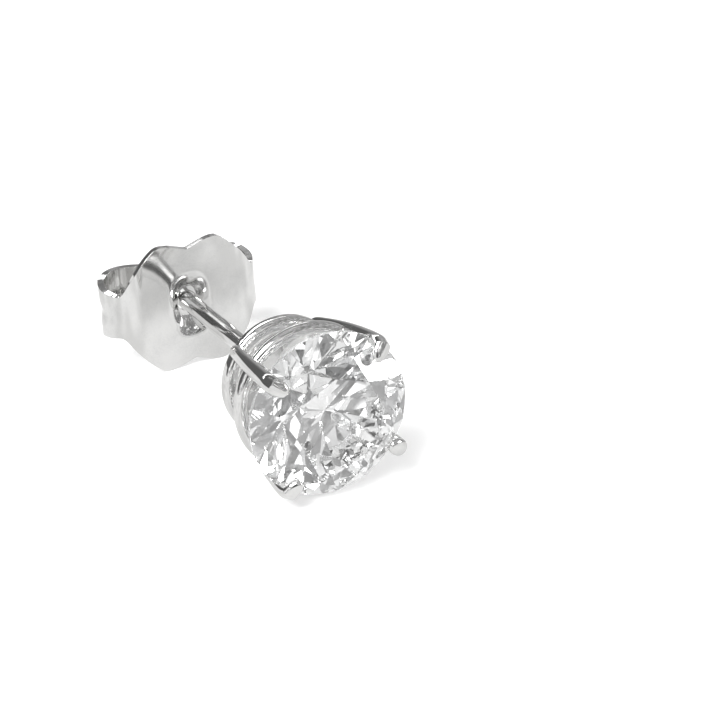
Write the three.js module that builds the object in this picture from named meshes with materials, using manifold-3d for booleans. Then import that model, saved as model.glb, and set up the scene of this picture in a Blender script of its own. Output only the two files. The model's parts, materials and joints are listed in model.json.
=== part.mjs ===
// A stud earring at its real size, in millimetres with +Z up: a round brilliant held by a four-claw
// basket with two rails, a straight post soldered to the basket, and a butterfly back on the post.
// It lies as it was put down: the stone's girdle and two lobes of the butterfly back touch the ground.
//
// Each piece is drawn in the earring's own frame, where the stone's girdle is the plane z = 0, the
// table faces +z, the post runs along -z, and +y is up. The last section lays the earring down.

import * as THREE from "three";
import { ConvexGeometry } from "three/addons/geometries/ConvexGeometry.js";
import { mergeVertices } from "three/addons/utils/BufferGeometryUtils.js";
import Module from "manifold-3d";

// Stone: a round brilliant of about one carat
const STONE_DIAMETER = 6.5;
const STONE_RADIUS = STONE_DIAMETER / 2;
const TABLE_RADIUS = 0.57 * STONE_RADIUS;
const CROWN_ANGLE = THREE.MathUtils.degToRad(34.5);
const PAVILION_ANGLE = THREE.MathUtils.degToRad(40.8);
const GIRDLE_HALF = 0.016 * STONE_DIAMETER;
const STAR_REACH = 0.5; // share of the way from the table to the girdle
const LOWER_HALF_REACH = 0.78; // share of the way from the girdle to the culet
const GIRDLE_SIDES = 64;
const MAIN_FACETS = 8;

// Basket
const SEAT_GAP = 0.06; // between the stone and the metal round it
const BASE_Z = -4.1; // the flat back of the basket, which lies on the ear
const BASE_RAIL = { radius: 2.22, halfWidth: 0.29, height: 0.58, corner: 0.2 };
const BASE_PLATE = 0.38;
const UPPER_RAIL = { radius: 2.74, z: -1.8, wire: 0.26 };
const RAIL_SEGMENTS = 48;
const WIRE_SIDES = 10;

// The claws stand a quarter turn apart, a little turned against the butterfly back, and the lower
// right one was bent over the stone a little off its corner.
const CLAW_TURN = 4;
const CLAW_ANGLES = [45, 135, 225, 315 + 4].map((angle) => THREE.MathUtils.degToRad(angle + CLAW_TURN));

// A claw's centre line and half sizes, from its foot on the base rail, up the outside of the stone,
// over a sharp corner and along the crown to its point.
const CLAW_SECTIONS = [
  { radius: 2.36, z: -4.02, halfWidth: 0.27, halfDepth: 0.27 },
  { radius: 2.53, z: -3.4, halfWidth: 0.29, halfDepth: 0.28 },
  { radius: 2.75, z: -2.6, halfWidth: 0.31, halfDepth: 0.29 },
  { radius: 2.95, z: -1.8, halfWidth: 0.32, halfDepth: 0.3 },
  { radius: 3.12, z: -1.0, halfWidth: 0.33, halfDepth: 0.3 },
  { radius: 3.23, z: -0.2, halfWidth: 0.34, halfDepth: 0.3 },
  { radius: 3.25, z: 0.36, halfWidth: 0.35, halfDepth: 0.28 },
  { radius: 3.2, z: 0.62, halfWidth: 0.35, halfDepth: 0.25 },
  { radius: 2.86, z: 0.8, halfWidth: 0.32, halfDepth: 0.22 },
  { radius: 2.5, z: 0.95, halfWidth: 0.25, halfDepth: 0.17 },
  { radius: 2.3, z: 1.0, halfWidth: 0.11, halfDepth: 0.1 },
];

// Post
const POST_RADIUS = 0.38;
const POST_END_Z = -15.3;
const POST_ROOT = { radius: 0.58, length: 0.22 };
const POST_NOSE = 0.22;
const POST_SIDES = 24;

// Butterfly back: one strip of sheet, flat in front of the ear side and curled back on both sides
const SHEET = 0.28;
const BACK_Z = -12.1; // the front face of its plate on the post
const FLAT_HALF = 2.04; // the plate is flat as far as this from the post
const OUTER_CURL = 1.22;
const CURL_CLEARANCE = 0.04; // between the curled ends and the post
const INNER_CURL = FLAT_HALF - POST_RADIUS - CURL_CLEARANCE - SHEET / 2;
const INNER_TURN = THREE.MathUtils.degToRad(84);
const CREASE = 0.13; // the groove along the middle of each wing
const STRIP_STEP = 0.2;

// The strip's half height, by the distance along it from the post
const STRIP_OUTLINE = [
  { along: 0, half: 2.47 },
  { along: 0.36, half: 2.59 },
  { along: 0.8, half: 2.73 },
  { along: 1.32, half: 2.75 },
  { along: 1.77, half: 2.45 },
  { along: 2.13, half: 2.07 },
  { along: 2.4, half: 1.73 },
  { along: 2.64, half: 1.38 },
  { along: 2.84, half: 1.07 },
  { along: 3.04, half: 0.93 },
  { along: 3.4, half: 0.97 },
  { along: 3.95, half: 1.05 },
  { along: 4.6, half: 1.18 },
  { along: 5.4, half: 1.26 },
  { along: 6.3, half: 1.24 },
  { along: 8.2, half: 1.15 },
];
const DIMPLE = { radius: 0.95, depth: 0.5, floor: 0.52, rim: 0.12, stretch: 1.55 };
const HOLE_CLEARANCE = 0.06;
const HOLE_RADIUS = POST_RADIUS + HOLE_CLEARANCE;

const WHITE_GOLD = new THREE.MeshStandardMaterial({ color: 0xd9dadc, roughness: 0.12, metalness: 1 });
const BRILLIANT = new THREE.MeshStandardMaterial({ color: 0xf4f7fa, roughness: 0.02, metalness: 0 });

const wasm = await Module();
wasm.setup();

// A closed three.js geometry as a solid that can be joined and cut.
function solid(geometry) {
  const plain = geometry.clone();
  plain.deleteAttribute("normal");
  plain.deleteAttribute("uv");
  const merged = mergeVertices(plain, 1e-4);
  return new wasm.Manifold(
    new wasm.Mesh({
      numProp: 3,
      vertProperties: new Float32Array(merged.attributes.position.array),
      triVerts: new Uint32Array(merged.index.array),
    }),
  );
}

// A solid back as a three.js geometry.
function geometryOf(made) {
  const mesh = made.getMesh();
  const geometry = new THREE.BufferGeometry();
  geometry.setAttribute("position", new THREE.BufferAttribute(new Float32Array(mesh.vertProperties), 3));
  geometry.setIndex(new THREE.BufferAttribute(new Uint32Array(mesh.triVerts), 1));
  geometry.computeVertexNormals();
  return geometry;
}

function indexed(points, triangles) {
  const geometry = new THREE.BufferGeometry().setFromPoints(points);
  geometry.setIndex(triangles);
  return geometry;
}

// A point at an angle round the stone's axis.
function polar(radius, angle, z) {
  return new THREE.Vector3(radius * Math.cos(angle), radius * Math.sin(angle), z);
}

// Stone

// The points of a round brilliant's facets: 8 kites, 8 stars and 16 halves above the girdle, and
// 8 mains and 16 halves below it. The halves cut the round girdle in shallow scallops.
function brilliantPoints() {
  const points = [];
  const mainStep = (2 * Math.PI) / MAIN_FACETS;
  const halfStep = mainStep / 2;
  const crownSlope = Math.tan(CROWN_ANGLE);
  const pavilionSlope = Math.tan(PAVILION_ANGLE);
  const tableFlat = TABLE_RADIUS * Math.cos(halfStep);
  const starRadius = tableFlat + STAR_REACH * (STONE_RADIUS - tableFlat);
  const lowerRadius = STONE_RADIUS * (1 - LOWER_HALF_REACH);
  const crownAt = (x) => GIRDLE_HALF + (STONE_RADIUS - x) * crownSlope;
  const pavilionAt = (x) => -GIRDLE_HALF - (STONE_RADIUS - x) * pavilionSlope;

  // The height of the half facet through the inner corner and two girdle corners, out at the girdle.
  const scallop = (innerRadius, innerZ, cornerZ, angle) => {
    const inner = polar(innerRadius, halfStep, innerZ);
    const first = polar(STONE_RADIUS, 0, cornerZ);
    const second = polar(STONE_RADIUS, halfStep, cornerZ);
    const plane = new THREE.Plane().setFromCoplanarPoints(inner, first, second);
    const at = polar(STONE_RADIUS, angle, 0);
    return -(plane.normal.x * at.x + plane.normal.y * at.y + plane.constant) / plane.normal.z;
  };

  const starZ = crownAt(starRadius * Math.cos(halfStep));
  const lowerZ = pavilionAt(lowerRadius * Math.cos(halfStep));
  for (let i = 0; i < MAIN_FACETS; i += 1) {
    const main = i * mainStep;
    points.push(polar(TABLE_RADIUS, main, crownAt(TABLE_RADIUS)));
    points.push(polar(starRadius, main + halfStep, starZ));
    points.push(polar(lowerRadius, main + halfStep, lowerZ));
  }
  for (let i = 0; i < GIRDLE_SIDES; i += 1) {
    const angle = (i * 2 * Math.PI) / GIRDLE_SIDES;
    const within = angle % mainStep;
    const mirrored = Math.min(within, mainStep - within);
    points.push(polar(STONE_RADIUS, angle, scallop(starRadius, starZ, GIRDLE_HALF, mirrored)));
    points.push(polar(STONE_RADIUS, angle, scallop(lowerRadius, lowerZ, -GIRDLE_HALF, mirrored)));
  }
  points.push(new THREE.Vector3(0, 0, pavilionAt(0)));
  return points;
}

// Turned by half a girdle side, so that the stone stands on a side and not on a corner.
function stoneGeometry() {
  return new ConvexGeometry(brilliantPoints()).rotateZ(Math.PI / GIRDLE_SIDES);
}

// Basket and post

// A tube through rings of points, all with the same count, closed by a fan at each end.
function tube(rings) {
  const count = rings[0].length;
  const points = rings.flat();
  const triangles = [];
  for (let r = 0; r + 1 < rings.length; r += 1) {
    for (let k = 0; k < count; k += 1) {
      const a = r * count + k;
      const b = r * count + ((k + 1) % count);
      triangles.push(a, b, a + count, b, b + count, a + count);
    }
  }
  const middle = (ring) => ring.reduce((sum, p) => sum.add(p), new THREE.Vector3()).divideScalar(count);
  const last = (rings.length - 1) * count;
  const start = points.push(middle(rings[0])) - 1;
  const end = points.push(middle(rings[rings.length - 1])) - 1;
  for (let k = 0; k < count; k += 1) {
    const next = (k + 1) % count;
    triangles.push(start, next, k, end, last + k, last + next);
  }
  return indexed(points, triangles);
}

// A round bar or disc along z.
function disc(radius, length, sides) {
  return new THREE.CylinderGeometry(radius, radius, length, sides).rotateX(Math.PI / 2);
}

// One claw, in the plane y = 0 on the +x side. Each ring stands square to the claw there, and at a
// bend it's stretched, so that the bend keeps a crisp outer corner.
function clawGeometry() {
  const centres = CLAW_SECTIONS.map((row) => new THREE.Vector2(row.radius, row.z));
  const rings = CLAW_SECTIONS.map((row, i) => {
    const before = centres[i].clone().sub(centres[Math.max(i - 1, 0)]).normalize();
    const after = centres[Math.min(i + 1, centres.length - 1)].clone().sub(centres[i]).normalize();
    const along = before.clone().add(after).normalize();
    const normal = new THREE.Vector2(along.y, -along.x);
    const bend = i === 0 || i === centres.length - 1 ? 1 : along.dot(after);
    return Array.from({ length: WIRE_SIDES }, (_, k) => {
      const angle = (k * 2 * Math.PI) / WIRE_SIDES;
      const out = centres[i].clone().addScaledVector(normal, (row.halfDepth / bend) * Math.cos(angle));
      return new THREE.Vector3(out.x, row.halfWidth * Math.sin(angle), out.y);
    });
  });
  return tube(rings);
}

function upperRailGeometry() {
  const profile = Array.from({ length: WIRE_SIDES + 1 }, (_, k) => {
    const angle = (k * 2 * Math.PI) / WIRE_SIDES;
    const radius = UPPER_RAIL.radius + UPPER_RAIL.wire * Math.cos(angle);
    return new THREE.Vector2(radius, UPPER_RAIL.z + UPPER_RAIL.wire * Math.sin(angle));
  });
  return new THREE.LatheGeometry(profile, RAIL_SEGMENTS).rotateX(Math.PI / 2);
}

// The base rail has a flat back and bevelled edges, and a thin plate closes it.
function baseRailGeometry() {
  const { radius, halfWidth, height, corner } = BASE_RAIL;
  const inner = radius - halfWidth;
  const outer = radius + halfWidth;
  const top = BASE_Z + height;
  const profile = [
    [inner + corner, BASE_Z],
    [outer - corner, BASE_Z],
    [outer, BASE_Z + corner],
    [outer, top - corner],
    [outer - corner, top],
    [inner + corner, top],
    [inner, top - corner],
    [inner, BASE_Z + corner],
    [inner + corner, BASE_Z],
  ].map(([r, z]) => new THREE.Vector2(r, z));
  return new THREE.LatheGeometry(profile, RAIL_SEGMENTS).rotateX(Math.PI / 2);
}

// Lathed shapes turn about y, and rotateX stands them on z, with their heights the right way up.
function postGeometry() {
  const rootZ = BASE_Z - POST_ROOT.length;
  const profile = [
    [0, POST_END_Z],
    [POST_RADIUS * 0.5, POST_END_Z],
    [POST_RADIUS * 0.85, POST_END_Z + POST_NOSE * 0.4],
    [POST_RADIUS, POST_END_Z + POST_NOSE],
    [POST_RADIUS, rootZ],
    [POST_ROOT.radius, BASE_Z],
    [POST_ROOT.radius, BASE_Z + BASE_PLATE / 2],
    [0, BASE_Z + BASE_PLATE / 2],
  ].map(([r, z]) => new THREE.Vector2(r, z));
  return new THREE.LatheGeometry(profile, POST_SIDES).rotateX(Math.PI / 2);
}

function basketGeometry() {
  const plate = disc(BASE_RAIL.radius, BASE_PLATE, RAIL_SEGMENTS).translate(0, 0, BASE_Z + BASE_PLATE / 2);
  const claws = CLAW_ANGLES.map((angle) => solid(clawGeometry().rotateZ(angle)));
  const rails = [baseRailGeometry(), plate, upperRailGeometry(), postGeometry()].map(solid);
  const basket = wasm.Manifold.union([...rails, ...claws]);
  const grown = 1 + SEAT_GAP / STONE_RADIUS;
  return geometryOf(basket.subtract(solid(stoneGeometry().scale(grown, grown, grown))));
}

// Butterfly back, with its plate's front face at z = 0 and the curls behind it

// Where the middle of the sheet runs, at a distance along the strip from the post: its place, and
// the direction that faces out of the curl.
function stripAt(along) {
  const side = Math.sign(along) || 1;
  const far = Math.abs(along);
  const middle = -SHEET / 2;
  const outerLength = Math.PI * OUTER_CURL;
  if (far <= FLAT_HALF) {
    return { x: along, z: middle, outX: 0, outZ: 1 };
  }
  if (far <= FLAT_HALF + outerLength) {
    const turn = (far - FLAT_HALF) / OUTER_CURL;
    const out = { x: Math.sin(turn), z: Math.cos(turn) };
    return {
      x: side * (FLAT_HALF + OUTER_CURL * out.x),
      z: middle - OUTER_CURL + OUTER_CURL * out.z,
      outX: side * out.x,
      outZ: out.z,
    };
  }
  const turn = (far - FLAT_HALF - outerLength) / INNER_CURL;
  const out = { x: -Math.sin(turn), z: -Math.cos(turn) };
  return {
    x: side * (FLAT_HALF + INNER_CURL * out.x),
    z: middle - 2 * OUTER_CURL + INNER_CURL + INNER_CURL * out.z,
    outX: side * out.x,
    outZ: out.z,
  };
}

// The strip of sheet as one closed skin: a section every step along it, each with an outer and an
// inner edge, and the crease pressed into the middle of the wings.
function stripGeometry() {
  const outline = new THREE.SplineCurve(STRIP_OUTLINE.map((row) => new THREE.Vector2(row.along, row.half)));
  const samples = outline.getPoints(200);
  const halfAt = (along) => {
    const far = Math.abs(along);
    const next = Math.max(1, samples.findIndex((p) => p.x >= far));
    const [a, b] = [samples[next - 1], samples[next]];
    return THREE.MathUtils.lerp(a.y, b.y, (far - a.x) / (b.x - a.x));
  };
  const end = FLAT_HALF + Math.PI * OUTER_CURL + INNER_TURN * INNER_CURL;
  const count = 2 * Math.ceil(end / STRIP_STEP);
  const across = [-1, -0.62, -0.3, 0, 0.3, 0.62, 1];
  const creaseShare = [0, 0, 0.25, 1, 0.25, 0, 0];
  const wide = across.length;
  const points = [];
  for (let i = 0; i <= count; i += 1) {
    const along = -end + (2 * end * i) / count;
    const at = stripAt(along);
    const half = halfAt(along);
    const depth = CREASE * THREE.MathUtils.smoothstep(Math.abs(along), FLAT_HALF + 0.5, FLAT_HALF + 1.4);
    for (const face of [SHEET / 2, -SHEET / 2]) {
      across.forEach((share, k) => {
        const shift = face - depth * creaseShare[k];
        points.push(new THREE.Vector3(at.x + at.outX * shift, half * share, at.z + at.outZ * shift));
      });
    }
  }
  const triangles = [];
  const quad = (a, b, c, d) => triangles.push(a, b, c, a, c, d);
  const stride = 2 * wide;
  for (let i = 0; i < count; i += 1) {
    const here = i * stride;
    const next = here + stride;
    for (let k = 0; k + 1 < wide; k += 1) {
      quad(here + k, next + k, next + k + 1, here + k + 1);
      quad(here + wide + k, here + wide + k + 1, next + wide + k + 1, next + wide + k);
    }
    quad(here, here + wide, next + wide, next);
    quad(here + wide - 1, next + wide - 1, next + 2 * wide - 1, here + 2 * wide - 1);
  }
  const last = count * stride;
  for (let k = 0; k + 1 < wide; k += 1) {
    quad(k, k + 1, wide + k + 1, wide + k);
    quad(last + k, last + wide + k, last + wide + k + 1, last + k + 1);
  }
  return indexed(points, triangles);
}

// The dimple that leads the post into its hole: a thin dish as thick as the sheet, closed here.
function dimpleGeometry() {
  const { radius, depth, floor, rim, stretch } = DIMPLE;
  const middle = (radius + floor) / 2;
  const profile = [
    [0, -depth - SHEET],
    [floor, -depth - SHEET],
    [middle + rim / 2, -depth / 2 - SHEET],
    [radius + rim, -SHEET],
    [radius + rim, 0],
    [radius, 0],
    [middle, -depth * 0.62],
    [floor, -depth],
    [0, -depth],
  ].map(([r, z]) => new THREE.Vector2(r, z));
  return new THREE.LatheGeometry(profile, 32).rotateX(Math.PI / 2).scale(1, stretch, 1);
}

function butterflyGeometry() {
  const plateDepth = 2 * SHEET;
  const mouth = disc(DIMPLE.radius, plateDepth, 32).scale(1, DIMPLE.stretch, 1);
  const holeDepth = 2 * (DIMPLE.depth + SHEET) + 0.1;
  return geometryOf(
    solid(stripGeometry())
      .subtract(solid(mouth))
      .add(solid(dimpleGeometry()))
      .subtract(solid(disc(HOLE_RADIUS, holeDepth, POST_SIDES))),
  );
}

// Assembly

function piece(name, geometry, material) {
  const mesh = new THREE.Mesh(geometry, material);
  mesh.name = name;
  return mesh;
}

const butterfly = butterflyGeometry().translate(0, 0, BACK_Z);
butterfly.computeBoundingBox();

// The girdle's underside and the lobes' lower edges reach the ground together.
const girdleReach = STONE_RADIUS * Math.cos(Math.PI / GIRDLE_SIDES);
const lobeReach = -butterfly.boundingBox.min.y;
const rise = Math.atan2(girdleReach - lobeReach, SHEET - BACK_Z - GIRDLE_HALF);

const lying = new THREE.Group();
lying.add(
  piece("stone", stoneGeometry(), BRILLIANT),
  piece("basket_and_post", basketGeometry(), WHITE_GOLD),
  piece("butterfly_back", butterfly, WHITE_GOLD),
);
lying.rotation.x = Math.PI / 2 - rise;

// The origin is on the ground, under the middle of the whole earring.
const bounds = new THREE.Box3().setFromObject(lying, true);
const centre = bounds.getCenter(new THREE.Vector3());
lying.position.set(-centre.x, -centre.y, -bounds.min.z);

const earring = new THREE.Group();
earring.add(lying);

export default earring;
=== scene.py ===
"""Dresses a stud earring: a round brilliant in a claw basket, its post, and the butterfly back.

Every piece is drawn in the earring's own frame, in millimetres, where the stone's girdle is the
plane z = 0, the table faces +z, the post runs along -z and +y is up. Resting then lays it down on
the ground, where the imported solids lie.
"""

from __future__ import annotations

import json
import logging
import math
from collections.abc import Mapping, Sequence
from dataclasses import dataclass, field
from enum import Enum
from typing import Any

import bmesh
import bpy
import numpy as np
from mathutils import Matrix, Vector

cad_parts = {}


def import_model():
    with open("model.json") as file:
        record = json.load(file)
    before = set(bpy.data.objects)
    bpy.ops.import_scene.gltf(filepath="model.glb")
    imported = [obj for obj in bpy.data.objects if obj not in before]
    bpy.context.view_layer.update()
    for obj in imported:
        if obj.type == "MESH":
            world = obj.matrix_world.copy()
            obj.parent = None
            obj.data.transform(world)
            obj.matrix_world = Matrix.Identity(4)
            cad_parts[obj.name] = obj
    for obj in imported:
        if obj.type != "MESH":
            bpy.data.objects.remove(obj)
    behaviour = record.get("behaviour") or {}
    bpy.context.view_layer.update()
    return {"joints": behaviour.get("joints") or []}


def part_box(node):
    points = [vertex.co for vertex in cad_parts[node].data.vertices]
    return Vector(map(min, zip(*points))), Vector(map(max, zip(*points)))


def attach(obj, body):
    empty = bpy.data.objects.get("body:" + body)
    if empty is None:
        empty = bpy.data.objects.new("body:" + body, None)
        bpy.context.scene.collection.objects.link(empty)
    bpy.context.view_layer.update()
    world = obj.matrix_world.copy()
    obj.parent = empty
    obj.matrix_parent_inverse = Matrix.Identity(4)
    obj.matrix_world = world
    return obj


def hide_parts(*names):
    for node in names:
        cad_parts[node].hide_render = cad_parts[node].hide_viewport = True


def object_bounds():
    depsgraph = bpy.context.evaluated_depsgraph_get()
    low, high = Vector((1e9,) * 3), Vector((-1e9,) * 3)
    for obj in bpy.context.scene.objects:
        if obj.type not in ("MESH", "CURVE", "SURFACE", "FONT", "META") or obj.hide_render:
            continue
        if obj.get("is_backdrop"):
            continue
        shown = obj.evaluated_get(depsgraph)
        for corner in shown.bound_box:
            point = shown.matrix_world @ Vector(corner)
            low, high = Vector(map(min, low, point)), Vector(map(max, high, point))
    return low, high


MM = 0.001
SAME_POINT = 1e-5
LOG = logging.getLogger("stud_earring")

Vec3 = tuple[float, float, float]
Point2 = tuple[float, float]


class Body(Enum):
    """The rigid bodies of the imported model."""

    STUD = "stud"
    BACK = "back"


class Slot(Enum):
    """The material slots of the record."""

    DIAMOND = "diamond"
    WHITE_GOLD = "white_gold"


def heading(azimuth: float, elevation: float) -> Vec3:
    """The way out from the earring, by degrees round it and degrees above the ground."""
    turn, rise = math.radians(azimuth), math.radians(elevation)
    return math.sin(turn) * math.cos(rise), -math.cos(turn) * math.cos(rise), math.sin(rise)


# Shader building


class Sock:
    """A shader socket that takes part in Python arithmetic."""

    def __init__(self, graph: Graph, socket: bpy.types.NodeSocket) -> None:
        """Keeps a socket with the graph that it belongs to."""
        self.graph = graph
        self.socket = socket

    def __add__(self, other: Operand) -> Sock:
        """The sum of both."""
        return self.graph.maths("ADD", self, other)

    def __sub__(self, other: Operand) -> Sock:
        """This socket less the other operand."""
        return self.graph.maths("SUBTRACT", self, other)

    def __rsub__(self, other: Operand) -> Sock:
        """The other operand less this socket."""
        return self.graph.maths("SUBTRACT", other, self)

    def __mul__(self, other: Operand) -> Sock:
        """The product of both."""
        return self.graph.maths("MULTIPLY", self, other)

    __radd__ = __add__
    __rmul__ = __mul__


Operand = Sock | float


class Graph:
    """The node tree of one material or of the world."""

    def __init__(self, owner: bpy.types.Material | bpy.types.World) -> None:
        """Empties a node tree, ready to be built.

        Args:
            owner: The material or world whose nodes are built.
        """
        owner.use_nodes = True
        self.tree = owner.node_tree
        self.tree.nodes.clear()

    def node(
        self,
        kind: str,
        settings: Mapping[str, Any] | None = None,
        values: Mapping[str | int, Any] | None = None,
        output: str | int = 0,
    ) -> Sock:
        """Adds one node.

        Args:
            kind: The node's type.
            settings: The node's own properties, which are set first.
            values: Numbers, colours or sockets for its inputs, by name or index.
            output: The output that is returned.

        Returns:
            The chosen output, ready for arithmetic.
        """
        made = self.tree.nodes.new(kind)
        for key, value in (settings or {}).items():
            setattr(made, key, value)
        for key, value in (values or {}).items():
            if isinstance(value, Sock):
                self.tree.links.new(value.socket, made.inputs[key])
            else:
                made.inputs[key].default_value = value
        return Sock(self, made.outputs[output])

    def maths(self, operation: str, *operands: Operand) -> Sock:
        """One Math node on numbers or sockets."""
        return self.node("ShaderNodeMath", {"operation": operation}, dict(enumerate(operands)))

    def coordinates(self, feature: Vec3) -> Sock:
        """Object coordinates, scaled so that one unit is the size of a feature.

        Args:
            feature: The feature's size along each axis, in millimetres.

        Returns:
            The scaled coordinates.
        """
        place = self.node("ShaderNodeTexCoord", output="Object")
        scale = tuple(1 / (size * MM) for size in feature)
        return self.node("ShaderNodeMapping", None, {"Vector": place, "Scale": scale})

    def noise(self, feature: Vec3, detail: float = 3.0) -> Sock:
        """A noise from 0 to 1, with features of the given size in millimetres."""
        where = self.coordinates(feature)
        return self.node("ShaderNodeTexNoise", None, {"Vector": where, "Scale": 1.0, "Detail": detail}, "Fac")

    def blend(self, share: Operand, first: Vec3, second: Vec3) -> Sock:
        """A colour between two others."""
        values = {"Factor": share, 6: (*first, 1.0), 7: (*second, 1.0)}
        return self.node("ShaderNodeMix", {"data_type": "RGBA"}, values, 2)

    def between(self, value: Sock, low: float, high: float) -> Sock:
        """0 below low, 1 above high, and smooth between them."""
        values = {"Value": value, "From Min": low, "From Max": high}
        return self.node("ShaderNodeMapRange", {"interpolation_type": "SMOOTHSTEP"}, values)

    def toward(self, place: Sock, azimuth: float, elevation: float, inner: float, outer: float) -> Sock:
        """1 within the inner angle of a direction of the room, 0 beyond the outer one.

        Args:
            place: The direction that is looked up.
            azimuth: The centre's angle round the earring, in degrees.
            elevation: The centre's angle above the ground, in degrees.
            inner: The angle up to which the result is 1, in degrees.
            outer: The angle beyond which it is 0, in degrees.

        Returns:
            The smooth mask.
        """
        values = {0: place, 1: heading(azimuth, elevation)}
        share = self.node("ShaderNodeVectorMath", {"operation": "DOT_PRODUCT"}, values, "Value")
        return self.between(share, math.cos(math.radians(outer)), math.cos(math.radians(inner)))

    def finish(self, kind: str, shader: Sock) -> None:
        """Joins the shader to the tree's output node."""
        made = self.tree.nodes.new(kind)
        self.tree.links.new(shader.socket, made.inputs["Surface"])


# Finishes


@dataclass(frozen=True)
class PolishedGold:
    """White gold, polished to a mirror, with faint haze and the hairlines of wear."""

    name: str
    tone: Vec3 = (0.83, 0.828, 0.822)
    shade: Vec3 = (0.72, 0.72, 0.718)
    shine: float = 0.045
    haze: float = 0.07
    haze_size: float = 1.1
    haze_band: Point2 = (0.42, 0.78)
    tint_band: Point2 = (0.35, 0.75)
    tint_cloud: float = 0.7
    tint_grain: float = 0.3
    grain: float = 0.06
    grain_haze: float = 0.02
    hairline: Vec3 = (0.5, 0.5, 0.018)
    hairline_depth: float = 0.0004
    hairline_strength: float = 0.35

    def material(self) -> bpy.types.Material:
        """Builds the finish's nodes.

        Returns:
            The material.
        """
        made = bpy.data.materials.new(self.name)
        graph = Graph(made)
        cloud = graph.noise((self.haze_size,) * 3)
        lines = graph.noise(self.hairline, detail=2.0)
        fine = graph.noise((self.grain,) * 3)
        haze = graph.between(cloud, *self.haze_band)
        mixed = cloud * self.tint_cloud + fine * self.tint_grain
        tint = graph.blend(graph.between(mixed, *self.tint_band), self.tone, self.shade)
        depth = self.hairline_depth * MM
        values = {"Height": lines, "Strength": self.hairline_strength, "Distance": depth}
        normal = graph.node("ShaderNodeBump", None, values)
        shader = graph.node(
            "ShaderNodeBsdfPrincipled",
            None,
            {
                "Base Color": tint,
                "Metallic": 1.0,
                "Roughness": haze * self.haze + fine * self.grain_haze + self.shine,
                "Normal": normal,
            },
        )
        graph.finish("ShaderNodeOutputMaterial", shader)
        return made


@dataclass(frozen=True)
class ClearDiamond:
    """A clear stone that bends light as diamond does."""

    name: str
    roughness: float
    clear: Vec3 = (1.0, 1.0, 1.0)
    body: Vec3 = (0.965, 0.975, 0.985)
    index: float = 2.417
    cloud_size: float = 1.6
    cloud_band: Point2 = (0.35, 0.7)
    grain_size: float = 0.05

    def material(self) -> bpy.types.Material:
        """Builds the finish's nodes.

        Returns:
            The material.
        """
        made = bpy.data.materials.new(self.name)
        graph = Graph(made)
        cloud = graph.noise((self.cloud_size,) * 3)
        grain = graph.noise((self.grain_size,) * 3)
        shader = graph.node(
            "ShaderNodeBsdfPrincipled",
            None,
            {
                "Base Color": graph.blend(graph.between(cloud, *self.cloud_band), self.clear, self.body),
                "Roughness": grain * self.roughness,
                "IOR": self.index,
                "Transmission Weight": 1.0,
            },
        )
        graph.finish("ShaderNodeOutputMaterial", shader)
        return made


@dataclass(frozen=True)
class PaleFloor:
    """Matt white card with a hardly visible tooth, whose painted glow makes the metal mirror one soft tone.

    The glow and the far glow are painted light that the camera sees, near the earring and far from it; they
    lighten the card's cast shadows. The mirrored glow is painted light too: a glow with darker soft patches
    (mirrored_glow_dim) that the metal and the stone mirror instead of the lit card.
    """

    name: str = "white_card"
    tone: Vec3 = (0.66, 0.66, 0.66)
    shade: Vec3 = (0.63, 0.63, 0.63)
    # painted light: glow that the camera sees on the card, which lightens its cast shadows
    glow: Vec3 = (0.5, 0.5, 0.5)
    far_glow: Vec3 = (1.0, 1.0, 1.0)
    far: Point2 = (0.08, 0.2)
    # painted light: glow that only the metal and the stone mirror, dimmer in soft patches
    mirrored_glow: Vec3 = (0.76, 0.76, 0.755)
    mirrored_glow_dim: Vec3 = (0.58, 0.58, 0.575)
    lit: Vec3 = (0.1, 0.1, 0.1)
    matt: float = 0.9
    tooth: float = 0.4
    patch: float = 6.0
    patch_band: Point2 = (0.35, 0.65)

    def material(self) -> bpy.types.Material:
        """Builds the finish's nodes.

        Returns:
            The material.
        """
        made = bpy.data.materials.new(self.name)
        graph = Graph(made)
        tint = graph.blend(graph.noise((self.tooth,) * 3), self.tone, self.shade)
        patches = graph.between(graph.noise((self.patch,) * 3, detail=1.0), *self.patch_band)
        # painted light: the mirrored glow, with darker soft patches, seen only by reflection rays
        mirrored_glow = graph.blend(patches, self.mirrored_glow, self.mirrored_glow_dim)
        seen = graph.node("ShaderNodeLightPath", output="Is Camera Ray")
        place = graph.node("ShaderNodeTexCoord", output="Object")
        away = graph.node("ShaderNodeVectorMath", {"operation": "LENGTH"}, {0: place}, "Value")
        # painted light: the glow that the camera sees, brighter far from the earring
        glow = graph.blend(graph.between(away, *self.far), self.glow, self.far_glow)
        same = {"Roughness": self.matt, "Emission Strength": 1.0}
        colours = (
            {"Base Color": tint, "Emission Color": glow},
            {"Base Color": (*self.lit, 1.0), "Emission Color": mirrored_glow},
        )
        card, dim = (graph.node("ShaderNodeBsdfPrincipled", None, {**same, **pair}) for pair in colours)
        mixed = graph.node("ShaderNodeMixShader", None, {0: seen, 1: dim, 2: card})
        graph.finish("ShaderNodeOutputMaterial", mixed)
        return made


# Mesh building


def mesh_from(name: str, points: Sequence[Sequence[float]], faces: Sequence[Sequence[int]]) -> bpy.types.Mesh:
    """Makes a mesh.

    Args:
        name: The mesh's name.
        points: The corners' places.
        faces: The corners of each face, by index.

    Returns:
        The mesh.
    """
    mesh = bpy.data.meshes.new(name)
    mesh.from_pydata([tuple(point) for point in points], [], [tuple(face) for face in faces])
    mesh.validate()
    return mesh


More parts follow.
